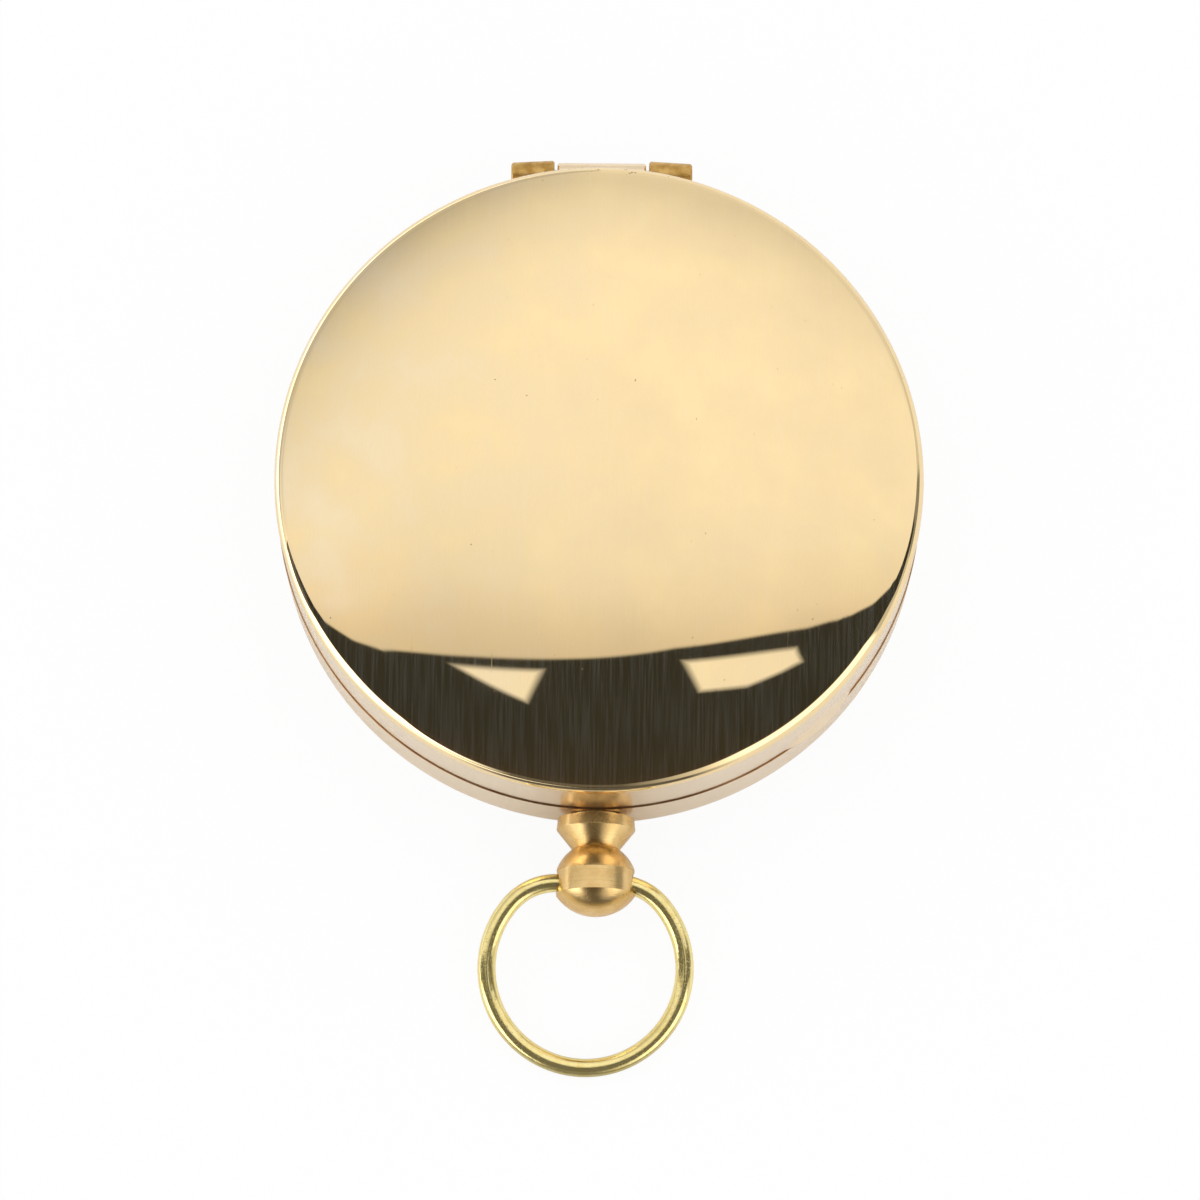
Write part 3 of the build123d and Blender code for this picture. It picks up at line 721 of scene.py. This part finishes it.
def under_glass(brass, slope_paint):
    """Turned pieces round and under the glass: bezel, degree ring and the needle's cap."""
    rings = {
        "bezel_hoop": ("turned_brass", brass, "bezel_ring", [
            (seat_radius, bezel_low.z, 0), (seat_radius, bezel_high.z, edge_break),
            (bezel_inner + bezel_bevel, bezel_high.z, edge_break),
            (bezel_inner, bezel_high.z - bezel_bevel, edge_break), (bezel_inner, bezel_low.z, 0)]),
        "degree_slope": ("degree_enamel", slope_paint, "degree_ring", [
            (seat_radius, slope_low.z, 0), (seat_radius, slope_high.z, 0),
            (seat_radius - degree_top_width, slope_high.z, edge_break),
            (seat_radius - degree_foot_width, slope_low.z, 0)]),
    }
    for name, (slot, finish, node, corners) in rings.items():
        mesh = turned_mesh(name, rounded(corners), UPRIGHT, 360, True)
        place_piece(mesh, "case", [finish], [node])
    crown = np.linspace(0, math.pi / 2, 14)
    crown_heights = cap_flange_top + (cap_high.z - cap_flange_top) * np.sin(crown)
    dome = np.stack([cap_crown_radius * np.cos(crown), crown_heights], axis=1)
    flange = rounded([
        (cap_bore, cap_bore_top, 0), (cap_bore, cap_low.z, 0), (cap_shank_radius, cap_low.z, 0),
        (cap_shank_radius, blade_high.z, 0), (cap_flange_radius, blade_high.z, 0),
        (cap_flange_radius, cap_flange_top, edge_break), (cap_crown_radius, cap_flange_top, 0)])[:-1]
    outline = np.concatenate([[[0, cap_bore_top]], flange, dome])
    mesh = turned_mesh("needle_cap_dome", outline, UPRIGHT, 96, False)
    place_piece(mesh, "needle", [brass], ["needle_cap"])


def needle_arms(finish):
    """Blade along Y: its half width is the lozenge's or the boss's, its section a bar with bevelled edges."""
    reach = np.linspace(-1, 1, 121)
    y = np.unique(np.concatenate([reach * needle_half_length, reach * needle_boss_radius * 1.05]))
    lozenge = needle_half_width * (1 - np.abs(y) / needle_half_length)
    boss = np.sqrt(np.maximum(needle_boss_radius**2 - y**2, 0))
    half = np.maximum(lozenge, boss)[:, None]
    bevel = np.minimum(needle_bevel, half)
    low, high = blade_low.z, blade_high.z
    flat = half - bevel
    x = np.concatenate([flat, half, half, flat, -flat, -half, -half, -flat], axis=1)
    drop = np.array([0, 1, 0, 0, 0, 0, 1, 0]) * bevel
    rise = np.array([0, 0, 1, 0, 0, 1, 0, 0]) * bevel
    z = np.array([high, high, low, low, low, low, high, high]) - drop + rise
    points = np.stack(np.broadcast_arrays(x, y[:, None], z), axis=-1)
    mesh = make_mesh("needle_arms", points, grid_faces(len(y), x.shape[1], False), 25)
    place_piece(mesh, "needle", [finish], ["needle_blade"])


def prisms(outlines, lift):
    """Points and faces of thin plates: each outline of four points, and the same outline moved by lift."""
    count = len(outlines)
    points = np.concatenate([outlines, outlines + lift], axis=1)
    start = np.arange(count)[:, None, None] * 8
    sides = np.array([[3, 2, 1, 0], [4, 5, 6, 7], [0, 1, 5, 4], [1, 2, 6, 5], [2, 3, 7, 6], [3, 0, 4, 7]])
    return points.reshape(-1, 3), (start + sides).reshape(-1, 4)


def radial_bars(step, skip, inner, outer, width):
    """Bars of ink every step degrees but not at multiples of skip, between two (radius, height) rings."""
    degrees = np.arange(0, 360, step)
    if skip:
        degrees = degrees[degrees % skip != 0]
    turn = np.radians(degrees)[:, None]
    radius = np.array([inner[0], outer[0], outer[0], inner[0]])[None, :]
    height = np.array([inner[1], outer[1], outer[1], inner[1]])[None, :]
    side = np.array([-0.5, -0.5, 0.5, 0.5])[None, :] * width
    x = radius * np.sin(turn) + side * np.cos(turn)
    y = radius * np.cos(turn) - side * np.sin(turn)
    outlines = np.stack(np.broadcast_arrays(x, y, height), axis=-1)
    return prisms(outlines, np.array([0, 0, ink_film]))


def join_parts(parts):
    """One array of points and one of faces from several of each."""
    starts = np.cumsum([0] + [len(points) for points, _ in parts[:-1]])
    faces = [face + start for (_, face), start in zip(parts, starts)]
    return np.concatenate([points for points, _ in parts]), np.concatenate(faces)


def dial_printing(dark_ink, light_ink, tone_ink):
    """Printed marks: a degree track, two circles, a star of eight points, and a light track on the slope."""
    base = dial_top + ink_film / 4
    track = (track_radius, base)
    marks = ((2, 10, 0.8 * MM, 0.1 * MM), (10, 30, 1.3 * MM, 0.17 * MM), (30, 0, 1.9 * MM, 0.3 * MM))
    ticks = join_parts([
        radial_bars(step, skip, (track_radius - length, base), track, width)
        for step, skip, length, width in marks
    ])
    place_piece(make_mesh("dial_track", *ticks), "case", [dark_ink])
    circles = (("dial_circle_outer", track_radius, track_line),
               ("dial_circle_inner", inner_circle_radius, inner_circle_line))
    for name, radius, width in circles:
        section = np.array([[radius, base], [radius + width, base],
                            [radius + width, base + ink_film], [radius, base + ink_film]])
        place_piece(turned_mesh(name, section, UPRIGHT, 256, True), "case", [dark_ink])
    for name, ink, side in (("dial_star_dark", dark_ink, -1), ("dial_star_light", tone_ink, 1)):
        long_points = star_points(0, star_long_tip, side, base)
        short_points = star_points(45, star_short_tip, side, base)
        mesh = make_mesh(name, *join_parts([long_points, short_points]))
        place_piece(mesh, "case", [ink])
    foot = (seat_radius - degree_foot_width, slope_low.z)
    top = (seat_radius - degree_top_width, slope_high.z)
    at = [(foot[0] + (top[0] - foot[0]) * s, foot[1] + (top[1] - foot[1]) * s) for s in (0.3, 0.5, 0.85)]
    ticks = join_parts([
        radial_bars(2, 10, at[1], at[2], slope_tick_width),
        radial_bars(10, 0, at[0], at[2], slope_mark_width),
    ])
    place_piece(make_mesh("slope_track", *ticks), "case", [light_ink])


def star_points(first, tip, side, base):
    """Half of each of four star points: a thin plate from near the middle to the tip, and to the waist 22.5
    degrees on."""
    turn = np.radians(first + 90 * np.arange(4))[:, None]
    heart = 0.35 * star_waist
    radius = np.array([heart, tip, star_waist, heart])[None, :]
    swing = side * np.radians([0, 0, 22.5, 22.5])[None, :]
    x = radius * np.sin(turn + swing)
    y = radius * np.cos(turn + swing)
    outlines = np.stack(np.broadcast_arrays(x, y, base), axis=-1)
    return prisms(outlines, np.array([0, 0, ink_film]))


def dial_lettering(ink):
    """Cardinal letters and degree figures, each upright towards the rim at its bearing, as one piece."""
    letters = {0: "N", 90: "E", 180: "S", 270: "W"}
    parts = []
    for bearing in range(0, 360, 30):
        cardinal = bearing in letters
        radius = letter_radius if cardinal else figure_radius
        curve = bpy.data.curves.new("figure", "FONT")
        curve.body = letters.get(bearing, str(bearing))
        curve.size = letter_size if cardinal else figure_size
        curve.align_x = "CENTER"
        curve.align_y = "CENTER"
        curve.extrude = ink_film / 2
        curve.resolution_u = 6
        shown = bpy.data.objects.new("figure", curve)
        bpy.context.scene.collection.objects.link(shown)
        depsgraph = bpy.context.evaluated_depsgraph_get()
        mesh = bpy.data.meshes.new_from_object(shown.evaluated_get(depsgraph))
        bpy.data.objects.remove(shown)
        turn = Matrix.Rotation(-math.radians(bearing), 4, "Z")
        mesh.transform(turn @ Matrix.Translation((0, radius, dial_top + ink_film)))
        parts.append(mesh)
    work = bmesh.new()
    for mesh in parts:
        work.from_mesh(mesh)
        bpy.data.meshes.remove(mesh)
    bmesh.ops.remove_doubles(work, verts=work.verts, dist=0.0005 * MM)
    joined = bpy.data.meshes.new("dial_lettering")
    work.to_mesh(joined)
    work.free()
    place_piece(joined, "case", [ink])


def dress_cad_nodes(finishes):
    """Gives the CAD nodes that stay in view their materials."""
    for name, material in finishes.items():
        mesh = frame["nodes"][name].data
        mesh.materials.clear()
        mesh.materials.append(material)


def studio_floor():
    """Pale table: a plane just under the compass that keeps a soft shadow and shows near white to the camera.
    The brass mirrors it darker in the middle of the front, where the flag keeps the light off, and brighter
    on the left."""
    half = 1.5
    level = -0.01 * MM
    sides = ((-half, -half), (half, -half), (half, half), (-half, half))
    corners = np.array([(x, y, level) for x, y in sides])
    mesh = bpy.data.meshes.new("table")
    mesh.from_pydata(corners, [], np.array([[0, 1, 2, 3]]))
    table = bpy.data.objects.new("table", mesh)
    bpy.context.scene.collection.objects.link(table)
    material, tree, place = new_material("white_table")
    clouds = add(tree, "TexNoise", {"Vector": place, "Scale": 1 / (40 * MM)})
    paper = add(tree, "Mix", {0: clouds, 6: "#FAFAFA", 7: "#FDFDFD"}, **COLOURS)
    path = add(tree, "LightPath").node.outputs
    x, y, _ = add(tree, "SeparateXYZ", (place,)).node.outputs
    aside = add(tree, "Math", (x, y), operation="DIVIDE")
    aside = add(tree, "Math", (aside,), operation="ABSOLUTE")
    aside = add(tree, "MapRange", (aside, 0.35, 0.6, 1, 0))
    shade = add(tree, "MapRange", (y, -58 * MM, -42 * MM, 0.9, 0), interpolation_type="SMOOTHSTEP")
    shade = add(tree, "Math", (shade, aside), operation="MULTIPLY")
    shade = add(tree, "Math", (shade, path["Is Glossy Ray"]), operation="MULTIPLY")
    paper = add(tree, "Mix", {0: shade, 6: paper, 7: "#2A2620"}, **COLOURS)
    matt = add(tree, "BsdfDiffuse", {"Color": paper})
    most = 0.9
    lit = add(tree, "MapRange", (x, -75 * MM, -40 * MM, most, 0))
    lit = add(tree, "Math", (lit, path["Is Glossy Ray"]), operation="MULTIPLY")
    strength = add(tree, "MapRange", (lit, 0, most, 1, 2.2))
    glow = add(tree, "Emission", {"Color": "#FFFFFF", "Strength": strength})
    share = add(tree, "Math", (path["Is Camera Ray"], 0.92, lit), operation="MULTIPLY_ADD")
    add(tree, "OutputMaterial", {"Surface": add(tree, "MixShader", (share, matt, glow))})
    mesh.materials.append(material)


def window(tree, spot, corners):
    """Share of light through a convex opening in the flag; its corners (u, v) go round it anticlockwise."""
    soft = 0.008
    share = 1.0
    for (u0, v0), (u1, v1) in zip(corners, corners[1:] + corners[:1]):
        length = math.hypot(u1 - u0, v1 - v0)
        across = ((v0 - v1) / length, (u1 - u0) / length, 0)
        offset = across[0] * u0 + across[1] * v0
        inwards = add(tree, "VectorMath", (spot, across), 1, operation="DOT_PRODUCT")
        inwards = add(tree, "MapRange", (inwards, offset - soft, offset + soft, 0, 1))
        share = add(tree, "Math", (share, inwards), operation="MINIMUM")
    return share


def through_points(tree, value, points):
    """Level at a value on straight lines through (value, level) points; the ramp starts at the least level."""
    first, last = points[0][0], points[-1][0]
    lowest = min(level for _, level in points)
    ramp = add(tree, "ValToRGB", (add(tree, "MapRange", (value, first, last, 0, 1)),))
    elements = ramp.node.color_ramp.elements
    for _ in points[2:]:
        elements.new(0.5)
    for element, (place, level) in zip(elements, points):
        element.position = (place - first) / (last - first)
        element.color = (level - lowest, level - lowest, level - lowest, 1)
    return add(tree, "Math", (ramp, lowest), operation="ADD")


def studio_world():
    """Room seen in the brass: a wide soft ceiling light from overhead to the back, a dark flag in front of it
    with two openings, a bright screen low on the left, paler walls low on the right, and a thin dark line at
    the horizon. Directions are taken as u = x / z and v = y / z, the spot where they meet a ceiling at unit
    height."""
    world = bpy.data.worlds.new("studio")
    bpy.context.scene.world = world
    world.use_nodes = True
    tree = world.node_tree
    tree.nodes.clear()
    x, y, z = add(tree, "SeparateXYZ", (add(tree, "TexCoord", out="Generated"),)).node.outputs
    height = add(tree, "Math", (z, 0.02), operation="MAXIMUM")
    u = add(tree, "Math", (x, height), operation="DIVIDE")
    v = add(tree, "Math", (y, height), operation="DIVIDE")
    spot = add(tree, "CombineXYZ", (u, v, 0.0))
    reach = add(tree, "VectorMath", (spot,), 1, operation="LENGTH")

    # Ceiling light: its level from front to back, brighter at both sides in front, less in two corners
    lift = through_points(tree, u, ((-0.6, 0.12), (-0.25, 0), (0.05, 0), (0.3, 0.09)))
    lifted = add(tree, "Math", (v, lift), operation="ADD")
    level = through_points(tree, lifted, (
        (-0.1, 0.7), (0.02, 0.8), (0.11, 0.93), (0.3, 1.05), (0.5, 1.08), (0.75, 1.07), (1.1, 0.97),
        (1.45, 0.82), (2.4, 0.85)))
    corner = add(tree, "Math", (u, v), operation="MULTIPLY")
    corner = add(tree, "MapRange", (corner, -0.8, 0, 0.65, 1))
    right = add(tree, "MapRange", (u, 0.2, 0.7, 1, 0.95))
    corner = add(tree, "Math", (corner, right), operation="MULTIPLY")
    outer = add(tree, "MapRange", (reach, 1.5, 2.6, 0, 0.25))
    front = add(tree, "MapRange", (v, 0.5, 1.5, 1, 0.2))
    corner = add(tree, "Math", (outer, front, corner), operation="MULTIPLY_ADD")
    light = add(tree, "Mix", {0: 1.0, 6: level, 7: corner}, blend_type="MULTIPLY", **COLOURS)
    warm = add(tree, "MapRange", (v, -0.06, 0.15, 1, 0))
    light = add(tree, "Mix", {0: warm, 6: light, 7: "#FFF8EE"}, blend_type="MULTIPLY", **COLOURS)

    # Flag: its edge against the ceiling light, from left to right, and the right end of the light
    edge = through_points(tree, u, (
        (-2.7, 0.16), (-1.8, 0.01), (-1.2, -0.03), (-0.78, -0.05), (-0.7, -0.08), (-0.6, -0.115),
        (-0.5, -0.125), (-0.3, -0.1), (-0.05, -0.06), (0.13, -0.04), (0.45, -0.05), (0.6, -0.035),
        (0.7, -0.01), (0.8, 0.05), (1.1, 0.07), (1.35, 0.13), (1.8, 0.3)))
    beyond = add(tree, "Math", (v, edge), operation="SUBTRACT")
    ceiling = add(tree, "MapRange", (beyond, -0.006, 0.006, 0, 1), interpolation_type="SMOOTHSTEP")
    right_end = add(tree, "Math", (v, -0.9, u), operation="MULTIPLY_ADD")
    right_end = add(tree, "MapRange", (right_end, 1.25, 1.5, 1, 0))
    ceiling = add(tree, "Math", (ceiling, right_end), operation="MULTIPLY")
    deeper = add(tree, "MapRange", (v, -0.6, -0.3, 0.5, 0))
    room = add(tree, "Mix", {0: deeper, 6: "#353632", 7: "#4A3E2E"}, **COLOURS)
    left_window = window(tree, spot, [(-0.285, -0.125), (-0.14, -0.2), (-0.1, -0.1)])
    right_window = window(tree, spot, [
        (0.155, -0.08), (0.205, -0.175), (0.32, -0.185), (0.41, -0.16), (0.46, -0.14), (0.43, -0.1)])
    pale = add(tree, "Math", (left_window, right_window), operation="MAXIMUM")
    room = add(tree, "Mix", {0: pale, 6: room, 7: "#FFFFFF"}, **COLOURS)

    # Screen and walls: how far out each begins, by the direction aside = u / |v|
    depth = add(tree, "Math", (v,), operation="ABSOLUTE")
    depth = add(tree, "Math", (depth, 0.02), operation="ADD")
    aside = add(tree, "Math", (u, depth), operation="DIVIDE")
    start = through_points(tree, aside, (
        (0.1, 2), (0.4, 1.5), (0.72, 1.1), (3.2, 1.15), (3.6, 1.6), (5.5, 1.9), (8, 3.2)))
    walls = add(tree, "Math", (reach, start), operation="SUBTRACT")
    walls = add(tree, "MapRange", (walls, -0.1, 0.3, 0, 1), interpolation_type="SMOOTHSTEP")
    paleness = through_points(tree, aside, (
        (0.1, 0.05), (0.45, 0.45), (0.7, 0.95), (3, 0.95), (3.5, 0.33), (10, 0.33)))
    back = add(tree, "MapRange", (v, 0, 0.3, 1, 0.4))
    paleness = add(tree, "Math", (paleness, back), operation="MULTIPLY")
    walls = add(tree, "Math", (walls, paleness), operation="MULTIPLY")
    room = add(tree, "Mix", {0: walls, 6: room, 7: (1.8, 1.8, 1.75, 1.0)}, **COLOURS)
    top = through_points(tree, aside, (
        (-9.5, 14), (-5.7, 7), (-4, 2.6), (-2.9, 2), (-2, 1.5), (-1.1, 1.5), (-0.6, 3)))
    screen = add(tree, "Math", (reach, top), operation="SUBTRACT")
    screen = add(tree, "MapRange", (screen, -0.15, 0.15, 0, 1), interpolation_type="SMOOTHSTEP")
    left = add(tree, "MapRange", (aside, -0.7, -0.35, 1, 0))
    screen = add(tree, "Math", (screen, left), operation="MULTIPLY")
    room = add(tree, "Mix", {0: screen, 6: room, 7: (2.4, 2.4, 2.4, 1.0)}, **COLOURS)
    room = add(tree, "Mix", {0: ceiling, 6: room, 7: light}, **COLOURS)

    # Dark line at the horizon in front
    skyline = add(tree, "MapRange", (z, 0.05, 0.12, 1, 0))
    for fade in ((y, 0.25, 0.45, 1, 0), (x, -0.8, -0.6, 0, 1), (x, 0, 0.3, 1, 0)):
        part = add(tree, "MapRange", fade)
        skyline = add(tree, "Math", (skyline, part), operation="MULTIPLY")
    room = add(tree, "Mix", {0: skyline, 6: room, 7: "#3A342C"}, **COLOURS)
    mirrored = add(tree, "LightPath", out="Is Glossy Ray")
    shown = add(tree, "Mix", {0: mirrored, 6: "#FFFFFF", 7: room}, **COLOURS)
    background = add(tree, "Background", {"Color": shown, "Strength": 1.0})
    add(tree, "OutputWorld", {"Surface": background})


def studio_camera():
    """Long lens above the front of the compass, rolled a little."""
    tilt = math.radians(14.35)
    roll = math.radians(0.5)
    distance = 404.6 * MM
    target = Vector((0.17 * MM, -11.02 * MM, lid_rim - 0.45 * MM))
    back = Vector((0, -math.sin(tilt), math.cos(tilt)))
    right = Vector((1, 0, 0))
    up = back.cross(right)
    rolled_right = right * math.cos(roll) + up * math.sin(roll)
    rolled_up = up * math.cos(roll) - right * math.sin(roll)
    lens = bpy.data.cameras.new("camera")
    lens.sensor_width = 36.0
    lens.lens = 144.0
    lens.clip_start = 0.01
    camera = bpy.data.objects.new("camera", lens)
    bpy.context.scene.collection.objects.link(camera)
    turn = Matrix((rolled_right, rolled_up, back)).transposed().to_4x4()
    camera.matrix_world = Matrix.Translation(target + back * distance) @ turn
    bpy.context.scene.camera = camera


dome_polish = polished_brass(
    "buffed_lid_brass", "#FBE0AB", "#F2D6A2",
    scratch_mm=(0.15, 5, 5), wave_mm=0.02, spots=0.17, lacquer=0.05, dullness=0.0)
# The wall's colours are paler than the dome's: painted paleness standing in for the whiter reflection the
# walls give at grazing angles
wall_polish = polished_brass(
    "buffed_wall_brass", "#FBE3BE", "#F3D9B2",
    scratch_mm=(9, 9, 0.16), wave_mm=0.004, spots=0.06, lacquer=0.8, dullness=0.2)
spun_inside = turned_brass("spun_lid_brass", "Z", "#E6C689", "#CDA662", line_mm=0.35, dullness=0.24)
turned_finish = turned_brass("turned_pendant_brass", "Y", "#EFCD90", "#D8AE68", line_mm=0.09, dullness=0.25)
ring_finish = turned_brass("turned_bezel_brass", "Z", "#E8C47E", "#C79748", line_mm=0.07, dullness=0.2)
raw_finish = raw_brass()
wire_finish = drawn_brass()
steel_finish = ground_steel()
cream_paint = painted_metal("cream_dial_enamel", "#EFE9D8", "#E6DEC8")
black_paint = painted_metal("black_slope_enamel", "#1A1A1C", "#252528")
dark_print = painted_metal("black_printing_ink", "#17161A", "#221F22", dullness=0.55)
light_print = painted_metal("white_printing_ink", "#F1EFE8", "#E4E1D6", dullness=0.55)
tone_print = painted_metal("ochre_printing_ink", "#B08A4A", "#A27B3C", dullness=0.55)

lid_shell(dome_polish, wall_polish, spun_inside)
case_cup(wall_polish)
hinge_barrels(raw_finish, wall_polish, steel_finish)
pendant(turned_finish)
wire_ring(wire_finish)
under_glass(ring_finish, black_paint)
needle_arms(needle_finish())
dial_printing(dark_print, light_print, tone_print)
dial_lettering(dark_print)
dress_cad_nodes({
    "dial_plate": cream_paint,
    "pivot_bush": ring_finish,
    "pivot_pin": steel_finish,
    "crystal_gasket": seal_rubber(),
    "crystal": clear_glass("float_glass", "#F6FBF9"),
    "jewel_cup": clear_glass("bearing_ruby", "#C03048"),
    "balance_clip": ring_finish,
})
studio_floor()
studio_world()
studio_camera()
bpy.context.scene.view_settings.view_transform = "Standard"
